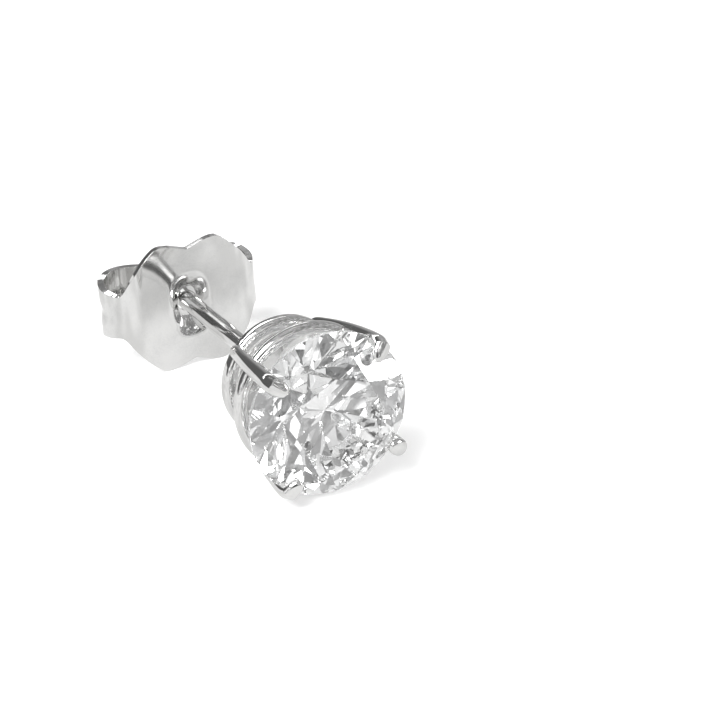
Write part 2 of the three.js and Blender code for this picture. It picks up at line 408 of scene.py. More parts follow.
def loft(rings: Sequence[Sequence[Sequence[float]]]) -> tuple[list[Sequence[float]], list[tuple[int, ...]]]:
    """Joins rings of points into a skin with a face at each end.

    Args:
        rings: The rings in order, all with the same count of points.

    Returns:
        The points, and the faces by index.
    """
    count = len(rings[0])
    points = [point for ring in rings for point in ring]
    faces: list[tuple[int, ...]] = []
    for row in range(len(rings) - 1):
        for k in range(count):
            here, beside = row * count + k, row * count + (k + 1) % count
            faces.append((here, beside, beside + count, here + count))
    last = (len(rings) - 1) * count
    faces.append(tuple(reversed(range(count))))
    faces.append(tuple(last + k for k in range(count)))
    return points, faces


def revolve(profile: Sequence[Point2], segments: int) -> tuple[list[Vec3], list[tuple[int, ...]]]:
    """Turns a profile round the z axis.

    Args:
        profile: Points (radius, z), which start and end on the axis.
        segments: The steps round the axis.

    Returns:
        The points, and the faces by index.
    """
    inner = profile[1:-1]
    points: list[Vec3] = [(0.0, 0.0, profile[0][1]), (0.0, 0.0, profile[-1][1])]
    for k in range(segments):
        angle = 2 * math.pi * k / segments
        points.extend((r * math.cos(angle), r * math.sin(angle), z) for r, z in inner)
    faces: list[tuple[int, ...]] = []
    size = len(inner)
    for k in range(segments):
        here, beside = 2 + k * size, 2 + (k + 1) % segments * size
        faces.append((0, beside, here))
        faces.extend((here + i, beside + i, beside + i + 1, here + i + 1) for i in range(size - 1))
        faces.append((1, here + size - 1, beside + size - 1))
    return points, faces


def baked(holder: bpy.types.Object) -> bpy.types.Mesh:
    """Applies a holder's modifiers and removes the holder.

    Args:
        holder: An object in the scene.

    Returns:
        The result as a plain mesh.
    """
    bpy.context.view_layer.update()
    graph = bpy.context.evaluated_depsgraph_get()
    mesh = bpy.data.meshes.new_from_object(holder.evaluated_get(graph))
    bpy.data.objects.remove(holder)
    return mesh


def held(mesh: bpy.types.Mesh) -> bpy.types.Object:
    """Puts a mesh in the scene while modifiers work on it.

    Args:
        mesh: The mesh.

    Returns:
        The object that holds it.
    """
    holder = bpy.data.objects.new(mesh.name, mesh)
    bpy.context.scene.collection.objects.link(holder)
    return holder


def outward(mesh: bpy.types.Mesh) -> bpy.types.Mesh:
    """Merges a closed mesh's double points and turns its faces outwards.

    Args:
        mesh: The mesh, which is changed.

    Returns:
        The same mesh.
    """
    work = bmesh.new()
    work.from_mesh(mesh)
    bmesh.ops.remove_doubles(work, verts=work.verts, dist=SAME_POINT)
    bmesh.ops.recalc_face_normals(work, faces=work.faces)
    work.to_mesh(mesh)
    work.free()
    return mesh


def smoothed(mesh: bpy.types.Mesh, crease: float) -> bpy.types.Mesh:
    """Shades a mesh smooth, but for its sharp edges.

    Args:
        mesh: The mesh.
        crease: The angle above which an edge stays sharp, in degrees.

    Returns:
        The shaded mesh.
    """
    mesh.shade_smooth()
    mesh.set_sharp_from_angle(angle=math.radians(crease))
    holder = held(mesh)
    weighted = holder.modifiers.new("even_shading", "WEIGHTED_NORMAL")
    weighted.keep_sharp = True
    return baked(holder)


@dataclass(frozen=True)
class Resting:
    """Where the earring lies: its own frame in millimetres, turned into the row's in metres."""

    matrix: Matrix

    @classmethod
    def on_ground(cls, off_post: Sequence[float], stone: bpy.types.Mesh) -> Resting:
        """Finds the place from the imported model.

        Args:
            off_post: The direction in which the back leaves the post.
            stone: The stone's mesh in the earring's own frame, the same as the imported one.

        Returns:
            The place of the whole earring.
        """
        ahead = -Vector(off_post).normalized()
        right = Vector((1, 0, 0))
        turn = Matrix((right, ahead.cross(right), ahead)).transposed().to_4x4()
        turned = [turn @ (vertex.co * MM) for vertex in stone.vertices]
        low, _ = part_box("stone")
        shift = Vector(low[axis] - min(point[axis] for point in turned) for axis in range(3))
        return cls(Matrix.Translation(shift) @ turn @ Matrix.Scale(MM, 4))

    def piece(self, name: str, mesh: bpy.types.Mesh, body: Body, node: str) -> bpy.types.Object:
        """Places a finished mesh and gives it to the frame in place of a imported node.

        Args:
            name: The piece's name.
            mesh: Its mesh, in the earring's own frame.
            body: The body that it rides on.
            node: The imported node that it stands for.

        Returns:
            The piece.
        """
        mesh.transform(self.matrix)
        mesh.name = name
        made = bpy.data.objects.new(name, mesh)
        bpy.context.scene.collection.objects.link(made)
        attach(made, body.value)
        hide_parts(node)
        LOG.info("%s: %d faces, rides on %s", name, len(mesh.polygons), body.value)
        return made


# Stone


@dataclass(frozen=True)
class BrilliantCut:
    """The proportions of a round brilliant."""

    diameter: float = 6.5
    table: float = 0.57
    crown: float = math.radians(34.5)
    pavilion: float = math.radians(40.8)
    girdle: float = 0.032
    star: float = 0.5
    lower_half: float = 0.78
    mains: int = 8
    girdle_sides: int = 64

    @property
    def radius(self) -> float:
        """The girdle's radius."""
        return self.diameter / 2


@dataclass
class Stone:
    """The round brilliant: 8 kites, 8 stars, 16 halves and a table, and 8 mains and 16 halves below.

    Polish and frost are the roughness of the facets and of the girdle. A face steeper than the girdle's
    slope belongs to the girdle. Faces that meet at less than one_facet, in radians, are one facet.
    """

    cut: BrilliantCut = field(default_factory=BrilliantCut)
    polish: float = 0.004
    frost: float = 0.5
    girdle_slope: float = 0.2
    one_facet: float = 0.004

    def _scallop(self, inner: Vec3, level: float, angle: float) -> float:
        """The height at which a half facet meets the round girdle.

        Args:
            inner: The facet's corner away from the girdle.
            level: The height of its two corners on the girdle.
            angle: The angle from the first of those corners.

        Returns:
            The height at that angle.
        """
        cut = self.cut
        step = math.pi / cut.mains
        corners = [Vector((cut.radius * math.cos(a), cut.radius * math.sin(a), level)) for a in (0, step)]
        start = Vector(inner)
        normal = (corners[0] - start).cross(corners[1] - start)
        x, y = cut.radius * math.cos(angle), cut.radius * math.sin(angle)
        return start.z - (normal.x * (x - start.x) + normal.y * (y - start.y)) / normal.z

    def mesh(self, grown: float = 0.0) -> bpy.types.Mesh:
        """The stone as one closed mesh with flat facets.

        Args:
            grown: How much further out than the stone the girdle lies, for the seat in the metal.

        Returns:
            The mesh in the earring's own frame.
        """
        cut = self.cut
        step = 2 * math.pi / cut.mains
        level = cut.girdle * cut.diameter / 2
        table = cut.table * cut.radius
        star = table * math.cos(step / 2) * (1 - cut.star) + cut.radius * cut.star
        lower = cut.radius * (1 - cut.lower_half)

        def above(r: float) -> float:
            """The crown's height at a radius."""
            return level + (cut.radius - r) * math.tan(cut.crown)

        def below(r: float) -> float:
            """The pavilion's height at a radius."""
            return -level - (cut.radius - r) * math.tan(cut.pavilion)

        def at(r: float, angle: float, z: float) -> Vec3:
            """A point by its radius, angle and height."""
            return (r * math.cos(angle), r * math.sin(angle), z)

        star_z, lower_z = above(star * math.cos(step / 2)), below(lower * math.cos(step / 2))
        points: list[Vec3] = [(0.0, 0.0, below(0.0))]
        for i in range(cut.mains):
            points.append(at(table, i * step, above(table)))
            points.append(at(star, (i + 0.5) * step, star_z))
            points.append(at(lower, (i + 0.5) * step, lower_z))
        for i in range(cut.girdle_sides):
            angle = 2 * math.pi * i / cut.girdle_sides
            near = min(angle % step, step - angle % step)
            points.append(at(cut.radius, angle, self._scallop(at(star, step / 2, star_z), level, near)))
            points.append(at(cut.radius, angle, self._scallop(at(lower, step / 2, lower_z), -level, near)))
        work = bmesh.new()
        turn = Matrix.Rotation(math.pi / cut.girdle_sides, 3, "Z") * (1 + grown / cut.radius)
        for point in points:
            work.verts.new(turn @ Vector(point))
        bmesh.ops.convex_hull(work, input=work.verts)
        bmesh.ops.dissolve_limit(work, angle_limit=self.one_facet, verts=work.verts, edges=work.edges)
        bmesh.ops.recalc_face_normals(work, faces=work.faces)
        mesh = bpy.data.meshes.new("brilliant")
        work.to_mesh(mesh)
        work.free()
        return mesh

    def dress(self, mesh: bpy.types.Mesh) -> None:
        """Gives the facets a clear polish and the girdle a frosted one.

        Args:
            mesh: The stone's mesh.
        """
        mesh.shade_flat()
        mesh.materials.append(ClearDiamond("clear_diamond", roughness=self.polish).material())
        mesh.materials.append(ClearDiamond("frosted_girdle", roughness=self.frost).material())
        for face in mesh.polygons:
            face.material_index = int(abs(face.normal.z) < self.girdle_slope)

    def place(self, mesh: bpy.types.Mesh, resting: Resting) -> bpy.types.Object:
        """Dresses the stone and lays it in its basket."""
        self.dress(mesh)
        return resting.piece("round_brilliant", mesh, Body.STUD, "stone")


# Basket and post


@dataclass(frozen=True)
class Claw:
    """One claw in the plane y = 0, as points (radius, z) and half widths.

    The neck gives shares of the way from the shoulder to the corner, each with the claw's width and
    depth there. The taper gives shares of the way from the corner to the tip, each with the width there.
    """

    foot: Point2 = (2.36, -4.02)
    bulge: Point2 = (3.095, -1.77)
    shoulder: Point2 = (3.25, 0.36)
    corner: Point2 = (3.2, 0.63)
    tip: Point2 = (2.6, 0.84)
    foot_half: float = 0.27
    shoulder_half: float = 0.345
    tip_half: float = 0.2
    leg_depth: float = 0.92
    top_depth: float = 0.72
    blunt: float = 0.6
    neck: tuple[Vec3, ...] = ((0.6, 1.0, 0.8), (1.0, 1.0, 0.74))
    taper: tuple[Point2, ...] = ((0.12, 1.0), (0.4, 0.95), (0.72, 0.78), (0.93, 0.5), (1.0, 0.22))
    sides: int = 8
    leg_steps: int = 7
    rounding: int = 3
    corner_crease: float = 0.75


@dataclass(frozen=True)
class BasketSizes:
    """The rails, the closed base, the post and the claws' places, in millimetres."""

    base_z: float = -4.1
    base_rail_radius: float = 2.22
    base_rail_wire: float = 0.58
    base_rail_corner: float = 0.2
    base_plate: float = 0.36
    base_inset: float = 0.05
    upper_rail_radius: float = 2.74
    upper_rail_z: float = -1.8
    upper_rail_wire: float = 0.26
    post_radius: float = 0.38
    post_end: float = -15.3
    post_nose: float = 0.22
    nose_flat: float = 0.5
    solder: float = 0.2
    seat_gap: float = 0.06
    claw_count: int = 4
    claw_turn: float = 4.0
    claw_lean: float = 4.0
    post_sides: int = 72
    arc_steps: int = 8
    sharp_above: float = 38.0


class SolderedWires:
    """The Geometry Nodes tree that sets the claws round the rails and joins all the metal."""

    rail_steps: int = 144
    wire_sides: int = 28
    corner_steps: int = 5

    def __init__(self) -> None:
        """Names the tree's inputs and builds its nodes."""
        self.tree = bpy.data.node_groups.new("soldered_wires", "GeometryNodeTree")
        self.sockets: dict[str, str] = {}
        self._input("Claw", "NodeSocketGeometry")
        self.tree.interface.new_socket("Metal", in_out="OUTPUT", socket_type="NodeSocketGeometry")
        base = ("Base Radius", "Base Height", "Base Wire", "Base Corner")
        upper = ("Upper Radius", "Upper Height", "Upper Wire")
        for name in (*base, *upper, "Claw Turn", "Claw Lean"):
            self._input(name, "NodeSocketFloat")
        self._input("Claw Count", "NodeSocketInt")
        self._input("Post", "NodeSocketObject")
        self._input("Seat", "NodeSocketObject")
        self._input("Finish", "NodeSocketMaterial")
        self.inputs = self.tree.nodes.new("NodeGroupInput").outputs
        self._build()

    def _input(self, name: str, kind: str) -> None:
        """Adds a named input and keeps its identifier."""
        socket = self.tree.interface.new_socket(name, in_out="INPUT", socket_type=kind)
        self.sockets[name] = socket.identifier

    def _node(self, kind: str, settings: Mapping[str, Any], values: Mapping[str | int, Any]) -> Any:
        """Adds one node.

        Args:
            kind: The node's type.
            settings: The node's own properties, which are set first.
            values: Numbers, sockets or lists of sockets for its inputs, by name or index.

        Returns:
            The node's first output.
        """
        made = self.tree.nodes.new(kind)
        for key, value in settings.items():
            setattr(made, key, value)
        for key, value in values.items():
            for one in value if isinstance(value, list) else [value]:
                if isinstance(one, bpy.types.NodeSocket):
                    self.tree.links.new(one, made.inputs[key])
                else:
                    made.inputs[key].default_value = one
        return made.outputs[0]

    def _maths(self, operation: str, first: Any, second: Any) -> Any:
        """One Math node on numbers or sockets."""
        return self._node("ShaderNodeMath", {"operation": operation}, {0: first, 1: second})

    def _lifted(self, geometry: Any, height: Any) -> Any:
        """Moves a geometry up the axis."""
        shift = self._node("ShaderNodeCombineXYZ", {}, {"Z": height})
        return self._node("GeometryNodeTransform", {}, {"Geometry": geometry, "Translation": shift})

    def _rail(self, radius: Any, height: Any, profile: Any) -> Any:
        """Bends a profile round the axis.

        Args:
            radius: The rail's radius.
            height: Its height on the axis.
            profile: The wire's section.

        Returns:
            The rail's geometry.
        """
        circle = {"Resolution": self.rail_steps, "Radius": radius}
        ring = self._node("GeometryNodeCurvePrimitiveCircle", {}, circle)
        swept = self._node("GeometryNodeCurveToMesh", {}, {"Curve": ring, "Profile Curve": profile})
        return self._lifted(swept, height)

    def _claws(self) -> Any:
        """Sets the claw round the axis. The last one leans off its corner.

        Returns:
            The claws, as instances.
        """
        taken = self.inputs
        index = self._node("GeometryNodeInputIndex", {}, {})
        points = self._node("GeometryNodePoints", {}, {"Count": taken["Claw Count"]})
        last = self._maths("SUBTRACT", taken["Claw Count"], 1.0)
        leaning = self._maths("MULTIPLY", self._maths("COMPARE", index, last), taken["Claw Lean"])
        share = self._maths("DIVIDE", self._maths("ADD", index, 0.5), taken["Claw Count"])
        angle = self._maths("ADD", self._maths("MULTIPLY", share, 2 * math.pi), taken["Claw Turn"])
        angle = self._maths("ADD", angle, leaning)
        turn = self._node("ShaderNodeCombineXYZ", {}, {"Z": angle})
        rotation = self._node("FunctionNodeEulerToRotation", {}, {0: turn})
        values = {"Points": points, "Instance": taken["Claw"], "Rotation": rotation}
        return self._node("GeometryNodeInstanceOnPoints", {}, values)

    def _build(self) -> None:
        """Joins the rails, the post and the claws, cuts the stone's seat and sets the finish."""
        taken = self.inputs
        square = self._node(
            "GeometryNodeCurvePrimitiveQuadrilateral", {}, {0: taken["Base Wire"], 1: taken["Base Wire"]}
        )
        rounded = self._node(
            "GeometryNodeFilletCurve",
            {"mode": "POLY"},
            {"Curve": square, "Count": self.corner_steps, "Radius": taken["Base Corner"]},
        )
        section = {"Resolution": self.wire_sides, "Radius": taken["Upper Wire"]}
        wire = self._node("GeometryNodeCurvePrimitiveCircle", {}, section)
        base = self._rail(taken["Base Radius"], taken["Base Height"], rounded)
        upper = self._rail(taken["Upper Radius"], taken["Upper Height"], wire)
        post = self._object(taken["Post"])
        parts = [base, upper, post, self._claws()]
        joined = self._node(
            "GeometryNodeMeshBoolean", {"operation": "UNION", "solver": "MANIFOLD"}, {"Mesh 2": parts}
        )
        cut = self._node(
            "GeometryNodeMeshBoolean",
            {"operation": "DIFFERENCE", "solver": "MANIFOLD"},
            {"Mesh 1": joined, "Mesh 2": self._object(taken["Seat"])},
        )
        real = self._node("GeometryNodeRealizeInstances", {}, {"Geometry": cut})
        done = self._node("GeometryNodeSetMaterial", {}, {"Geometry": real, "Material": taken["Finish"]})
        self.tree.links.new(done, self.tree.nodes.new("NodeGroupOutput").inputs[0])

    def _object(self, which: Any) -> Any:
        """Fetches the geometry of another object.

        Args:
            which: The input that names the object.

        Returns:
            Its geometry.
        """
        made = self.tree.nodes.new("GeometryNodeObjectInfo")
        self.tree.links.new(which, made.inputs["Object"])
        return made.outputs["Geometry"]

    def apply(self, claw: bpy.types.Mesh, values: Mapping[str, Any]) -> bpy.types.Mesh:
        """Runs the tree on one claw.

        Args:
            claw: The claw's mesh.
            values: The tree's inputs, by name.

        Returns:
            All the metal as a plain mesh.
        """
        holder = held(claw)
        modifier = holder.modifiers.new("soldered_wires", "NODES")
        modifier.node_group = self.tree
        for name, value in values.items():
            modifier[self.sockets[name]] = value
        mesh = baked(holder)
        bpy.data.node_groups.remove(self.tree)
        return mesh


@dataclass
class Basket:
    """The claws, the two rails, the closed base and the post, soldered into one piece."""

    stone: Stone
    sizes: BasketSizes = field(default_factory=BasketSizes)
    claw: Claw = field(default_factory=Claw)

    def _claw_line(self) -> list[tuple[Vector, float, float]]:
        """Lays out the claw's centre line.

        Returns:
            Its points, each with the claw's half width and half depth.
        """
        claw = self.claw
        foot, bulge, shoulder = (Vector(point) for point in (claw.foot, claw.bulge, claw.shoulder))
        corner, tip = Vector(claw.corner), Vector(claw.tip)
        line: list[tuple[Vector, float, float]] = []
        for i in range(claw.leg_steps + 1):
            t = i / claw.leg_steps
            place = foot * (1 - t) ** 2 + bulge * (2 * t * (1 - t)) + shoulder * t**2
            half = claw.foot_half + (claw.shoulder_half - claw.foot_half) * t
            line.append((place, half, half * claw.leg_depth))
        for share, half, depth in claw.neck:
            place = shoulder.lerp(corner, share)
            line.append((place, claw.shoulder_half * half, claw.shoulder_half * depth))
        for share, half in claw.taper:
            wide = claw.shoulder_half * half
            deep = claw.tip_half + (claw.shoulder_half * claw.top_depth - claw.tip_half) * (1 - share)
            line.append((corner.lerp(tip, share), wide, deep * min(1.0, half / claw.blunt)))
        return line

    def _claw_mesh(self) -> bpy.types.Mesh:
        """Builds one claw from a cage that subdivision rounds.

        Returns:
            The claw, in the plane y = 0.
        """
        line = self._claw_line()
        sides = self.claw.sides
        fuller = 1 / (2 / 3 + math.cos(2 * math.pi / sides) / 3)
        rings = []
        for i, (place, wide, deep) in enumerate(line):
            before = (place - line[max(i - 1, 0)][0]).normalized()
            after = (line[min(i + 1, len(line) - 1)][0] - place).normalized()
            along = (before + after).normalized()
            across = Vector((along.y, -along.x))
            bend = along.dot(after) if 0 < i < len(line) - 1 else 1.0
            ring = []
            for k in range(sides):
                angle = 2 * math.pi * (k + 0.5) / sides
                out = place + across * (deep * fuller / bend * math.cos(angle))
                ring.append((out.x, wide * fuller * math.sin(angle), out.y))
            rings.append(ring)
        cage = mesh_from("claw", *loft(rings))
        first = (self.claw.leg_steps + 2) * sides
        bend = range(first, first + sides)
        crease = cage.attributes.new("crease_edge", "FLOAT", "EDGE")
        for edge in cage.edges:
            crease.data[edge.index].value = self.claw.corner_crease * all(v in bend for v in edge.vertices)
        holder = held(outward(cage))
        rounded = holder.modifiers.new("rounded", "SUBSURF")
        rounded.levels = rounded.render_levels = self.claw.rounding
        return baked(holder)

    def _post_mesh(self) -> bpy.types.Mesh:
        """Turns the post, its solder and the plate that closes the base rail as one.

        Returns:
            The closed mesh.
        """
        s = self.sizes
        back = s.base_z + s.base_inset
        nose = [
            (
                s.post_radius * (s.nose_flat + (1 - s.nose_flat) * math.sin(a)),
                s.post_end + s.post_nose * (1 - math.cos(a)),
            )
            for a in np.linspace(0, math.pi / 2, s.arc_steps)
        ]
        fillet = [
            (s.post_radius + s.solder * (1 - math.cos(a)), back - s.solder * (1 - math.sin(a)))
            for a in np.linspace(0, math.pi / 2, s.arc_steps)
        ]
        inside = s.base_z + s.base_plate
        profile = [(0.0, s.post_end), *nose, *fillet]
        profile += [(s.base_rail_radius, back), (s.base_rail_radius, inside), (0.0, inside)]
        return outward(mesh_from("post", *revolve(profile, s.post_sides)))

    def mesh(self, finish: bpy.types.Material) -> bpy.types.Mesh:
        """Builds all the soldered metal, cut clear of the stone.

        Args:
            finish: The metal's material.

        Returns:
            The mesh in the earring's own frame.
        """
        s = self.sizes
        post = held(self._post_mesh())
        seat = held(self.stone.mesh(s.seat_gap))
        made = SolderedWires().apply(
            self._claw_mesh(),
            {
                "Base Radius": s.base_rail_radius,
                "Base Height": s.base_z + s.base_rail_wire / 2,
                "Base Wire": s.base_rail_wire,
                "Base Corner": s.base_rail_corner,
                "Upper Radius": s.upper_rail_radius,
                "Upper Height": s.upper_rail_z,
                "Upper Wire": s.upper_rail_wire,
                "Claw Turn": math.radians(s.claw_turn),
                "Claw Lean": math.radians(s.claw_lean),
                "Claw Count": s.claw_count,
                "Post": post,
                "Seat": seat,
                "Finish": finish,
            },
        )
        for helper in (post, seat):
            bpy.data.objects.remove(helper)
        return smoothed(outward(made), s.sharp_above)

    def place(self, resting: Resting) -> bpy.types.Object:
        """Makes, dresses and lays down the soldered metal."""
        mesh = self.mesh(PolishedGold("polished_basket").material())
        return resting.piece("basket_with_post", mesh, Body.STUD, "basket_and_post")


# Butterfly back


@dataclass(frozen=True)
class BackSizes:
    """The strip of sheet that the butterfly back is pressed and curled from, in millimetres.

    The outline is the strip's half height at distances along it from the post.
    """

    sheet: float = 0.28
    plate_z: float = -12.1
    flat_half: float = 2.04
    outer_curl: float = 1.22
    curl_gap: float = 0.04
    post_radius: float = 0.38
    hole_gap: float = 0.06
    inner_turn: float = math.radians(84)
    crease: float = 0.08
    crease_half: float = 0.3
    crease_start: float = 0.95
    crease_fade: float = 1.2
    dimple: Point2 = (0.98, 1.5)
    dimple_depth: float = 0.45
    dimple_floor: float = 0.42
    dimple_corners: float = 2.6
    dimple_crisp: float = 0.4
    crisp_rise: float = 1.3
    skew: Point2 = (0.037, 0.028)
    skew_reach: float = 1.9
    skew_fade: int = 4
    edge_round: float = 0.055
    edge_steps: int = 3
    edge_above: float = 55.0
    sharp_above: float = 50.0
    outline: tuple[Point2, ...] = (
        (0.0, 2.47),
        (0.36, 2.59),
        (0.8, 2.73),
        (1.32, 2.75),
        (1.77, 2.45),
        (2.13, 2.07),
        (2.4, 1.73),
        (2.64, 1.38),
        (2.84, 1.07),
        (3.04, 0.93),
        (3.4, 0.97),
        (3.95, 1.05),
        (4.6, 1.18),
        (5.4, 1.26),
        (6.3, 1.24),
        (8.2, 1.15),
    )

    @property
    def inner_curl(self) -> float:
        """The radius that brings the curled end beside the post."""
        return self.flat_half - self.post_radius - self.curl_gap - self.sheet / 2

    @property
    def end(self) -> float:
        """The distance along the strip from the post to its end."""
        return self.flat_half + math.pi * self.outer_curl + self.inner_turn * self.inner_curl


@dataclass
class ButterflyBack:
    """The friction back: a lobed plate with a pressed dimple, and a curled wing on each side."""

    sizes: BackSizes = field(default_factory=BackSizes)
    around: int = 30
    across: int = 28
    along_top: int = 72
    wing_steps: int = 110
    ring_spread: float = 1.25

    def _half(self, along: float) -> float:
        """The strip's half height, on a smooth line through its outline.

        Args:
            along: The distance along the strip from the post.

        Returns:
            The half height there.
        """
        rows = self.sizes.outline
        far = min(abs(along), rows[-1][0])
        i = max(k for k in range(len(rows) - 1) if rows[k][0] <= far)
        spans = [rows[max(i - 1, 0)], rows[i], rows[i + 1], rows[min(i + 2, len(rows) - 1)]]
        (x0, y0), (x1, y1), (x2, y2), (x3, y3) = spans
        t = (far - x1) / (x2 - x1)
        width = x2 - x1
        rise_in = (y2 - y0) / (x2 - x0) * width
        rise_out = (y3 - y1) / (x3 - x1) * width
        return (
            (2 * t**3 - 3 * t**2 + 1) * y1
            + (t**3 - 2 * t**2 + t) * rise_in
            + (3 * t**2 - 2 * t**3) * y2
            + (t**3 - t**2) * rise_out
        )

    def _run(self, along: float) -> tuple[float, float, float, float]:
        """The sheet's middle, as it runs from the plate into its curls.

        Args:
            along: The distance along the strip from the post.

        Returns:
            The middle's x and z, and the x and z of the way out of the curl.
        """
        s = self.sizes
        side = math.copysign(1.0, along)
        far = abs(along)
        middle = -s.sheet / 2
        outer_length = math.pi * s.outer_curl
        if far <= s.flat_half:
            return along, middle, 0.0, 1.0
        if far <= s.flat_half + outer_length:
            turn = (far - s.flat_half) / s.outer_curl
            x, z = math.sin(turn), math.cos(turn)
            place = s.flat_half + s.outer_curl * x, middle + s.outer_curl * (z - 1)
        else:
            turn = (far - s.flat_half - outer_length) / s.inner_curl
            x, z = -math.sin(turn), -math.cos(turn)
            place = s.flat_half + s.inner_curl * x, middle - 2 * s.outer_curl + s.inner_curl * (1 + z)
        return side * place[0], place[1], side * x, z

    def _pressed(self, along: float, height: float) -> float:
        """How deep the sheet is pressed: the dimple, the plate's slight skew and a wing's crease.

        The dimple is a funnel, with an edge that is crisper towards its lower side.

        Args:
            along: The distance along the strip from the post.
            height: The height above the strip's middle.

        Returns:
            The depth, into the curl.
        """
        s = self.sizes
        wide, tall = s.dimple
        power = s.dimple_corners
        level = (abs(along / wide) ** power + abs(height / tall) ** power) ** (1 / power)
        t = min(max((1 - level) / (1 - s.dimple_floor), 0.0), 1.0)
        crisp = s.dimple_crisp * min(max(-s.crisp_rise * height / tall, 0.0), 1.0)
        dimple = s.dimple_depth * (crisp * t + (1 - crisp) * t * t * (3 - 2 * t))
        fade = math.exp(-((along / s.skew_reach) ** s.skew_fade))
        dimple -= (s.skew[0] * along + s.skew[1] * height) * fade
        start = min(max((abs(along) - s.flat_half - s.crease_start) / s.crease_fade, 0.0), 1.0)
        crease = s.crease * start * start * (3 - 2 * start) * math.exp(-((height / s.crease_half) ** 2))
        return dimple + crease

    def _point(self, along: float, height: float) -> Vec3:
        """A point of the sheet's middle, after pressing and curling.

        Args:
            along: The distance along the strip from the post.
            height: The height above the strip's middle.

        Returns:
            The point.
        """
        x, z, out_x, out_z = self._run(along)
        depth = self._pressed(along, height)
        return (x - out_x * depth, height, z - out_z * depth)

    def _plate_rim(self) -> list[Point2]:
        """Draws the plate's outline, with a straight join to each wing.

        Returns:
            Its points, counterclockwise from the lower right.
        """
        half, edge = self.sizes.flat_half, self._half(self.sizes.flat_half)
        upright = [edge * (2 * k / self.across - 1) for k in range(self.across)]
        top = [half * (1 - 2 * k / self.along_top) for k in range(self.along_top)]
        rim = [(half, v) for v in upright] + [(u, self._half(u)) for u in top]
        return rim + [(-half, -v) for v in upright] + [(-u, -self._half(u)) for u in top]

    def mesh(self) -> bpy.types.Mesh:
        """Builds the whole back as one closed sheet with rounded edges.

        Returns:
            The mesh in the earring's own frame.
        """
        s = self.sizes
        hole = s.post_radius + s.hole_gap
        rim = self._plate_rim()
        count = len(rim)
        points: list[Vec3] = []
        faces: list[tuple[int, ...]] = []
        for ring in range(self.around + 1):
            share = (ring / self.around) ** self.ring_spread
            for u, v in rim:
                scale = hole / math.hypot(u, v)
                part = scale + (1 - scale) * share
                points.append(self._point(u * part, v * part))
        for ring in range(self.around):
            for k in range(count):
                here, beside = ring * count + k, ring * count + (k + 1) % count
                faces.append((here, here + count, beside + count, beside))
        outer = self.around * count
        turn = self.across + self.along_top
        for side, start in ((1, 0), (-1, turn)):
            seam = [outer + (start + k) % count for k in range(self.across + 1)]
            for step in range(1, self.wing_steps + 1):
                along = s.flat_half + (s.end - s.flat_half) * step / self.wing_steps
                edge = self._half(along)
                row = len(points)
                points.extend(
                    self._point(side * along, side * edge * (2 * k / self.across - 1))
                    for k in range(self.across + 1)
                )
                new = list(range(row, row + self.across + 1))
                faces.extend((seam[k], new[k], new[k + 1], seam[k + 1]) for k in range(self.across))
                seam = new
        sheet = mesh_from("sheet", points, faces)
        sheet.transform(Matrix.Translation((0, 0, s.plate_z)))
        holder = held(sheet)
        thick = holder.modifiers.new("thick", "SOLIDIFY")
        thick.thickness, thick.offset, thick.use_even_offset = s.sheet, 0.0, True
        soft = holder.modifiers.new("soft_edges", "BEVEL")
        soft.width, soft.segments, soft.limit_method = s.edge_round, s.edge_steps, "ANGLE"
        soft.angle_limit = math.radians(s.edge_above)
        return smoothed(outward(baked(holder)), s.sharp_above)

    def place(self, resting: Resting) -> bpy.types.Object:
        """Makes, dresses and lays down the back.

        Args:
            resting: Where the earring lies.

        Returns:
            The piece.
        """
        mesh = self.mesh()
        mesh.materials.append(PolishedGold("polished_back", shine=0.05, haze=0.09).material())
        return resting.piece("pressed_back", mesh, Body.BACK, "butterfly_back")


# Studio


@dataclass(frozen=True)
class Viewpoint:
    """The camera, by its angles round the aim in degrees and its distance in millimetres."""

    azimuth: float = -27.16
    elevation: float = 27.56
    roll: float = -2.81
    distance: float = 90.0
    aim: Vec3 = (1.596, -6.757, 4.890)
    lens: float = 121.1
    sensor: float = 36.0
    nearest: float = 0.002
    farthest: float = 20.0

    def camera(self) -> bpy.types.Object:
        """Makes the camera and sets it as the scene's.

        Returns:
            The camera.
        """
        data = bpy.data.cameras.new("studio_camera")
        data.lens, data.sensor_width = self.lens, self.sensor
        data.clip_start, data.clip_end = self.nearest, self.farthest
        made = bpy.data.objects.new("studio_camera", data)
        bpy.context.scene.collection.objects.link(made)
        back = Vector(heading(self.azimuth, self.elevation))
        level = Vector((0, 0, 1)).cross(back).normalized()
        basis = Matrix((level, back.cross(level), back)).transposed()
        rolled = basis @ Matrix.Rotation(math.radians(self.roll), 3, "Z")
        place = Vector(self.aim) * MM + back * self.distance * MM
        made.matrix_world = Matrix.Translation(place) @ rolled.to_4x4()
        bpy.context.scene.camera = made
        return made


@dataclass(frozen=True)
class Softbox:
    """A soft light, by its angles round the earring in degrees and its distance in metres."""

    name: str
    azimuth: float
    elevation: float
    distance: float
    size: Point2
    power: float

    def light(self, aim: Vector) -> bpy.types.Object:
        """Makes the light.

        Args:
            aim: The point that it is turned towards.

        Returns:
            The light.
        """
        data = bpy.data.lights.new(self.name, "AREA")
        data.shape, data.energy = "RECTANGLE", self.power
        data.size, data.size_y = self.size
        made = bpy.data.objects.new(self.name, data)
        bpy.context.scene.collection.objects.link(made)
        away = Vector(heading(self.azimuth, self.elevation))
        made.location = aim + away * self.distance
        made.rotation_euler = away.to_track_quat("Z", "Y").to_euler()
        return made


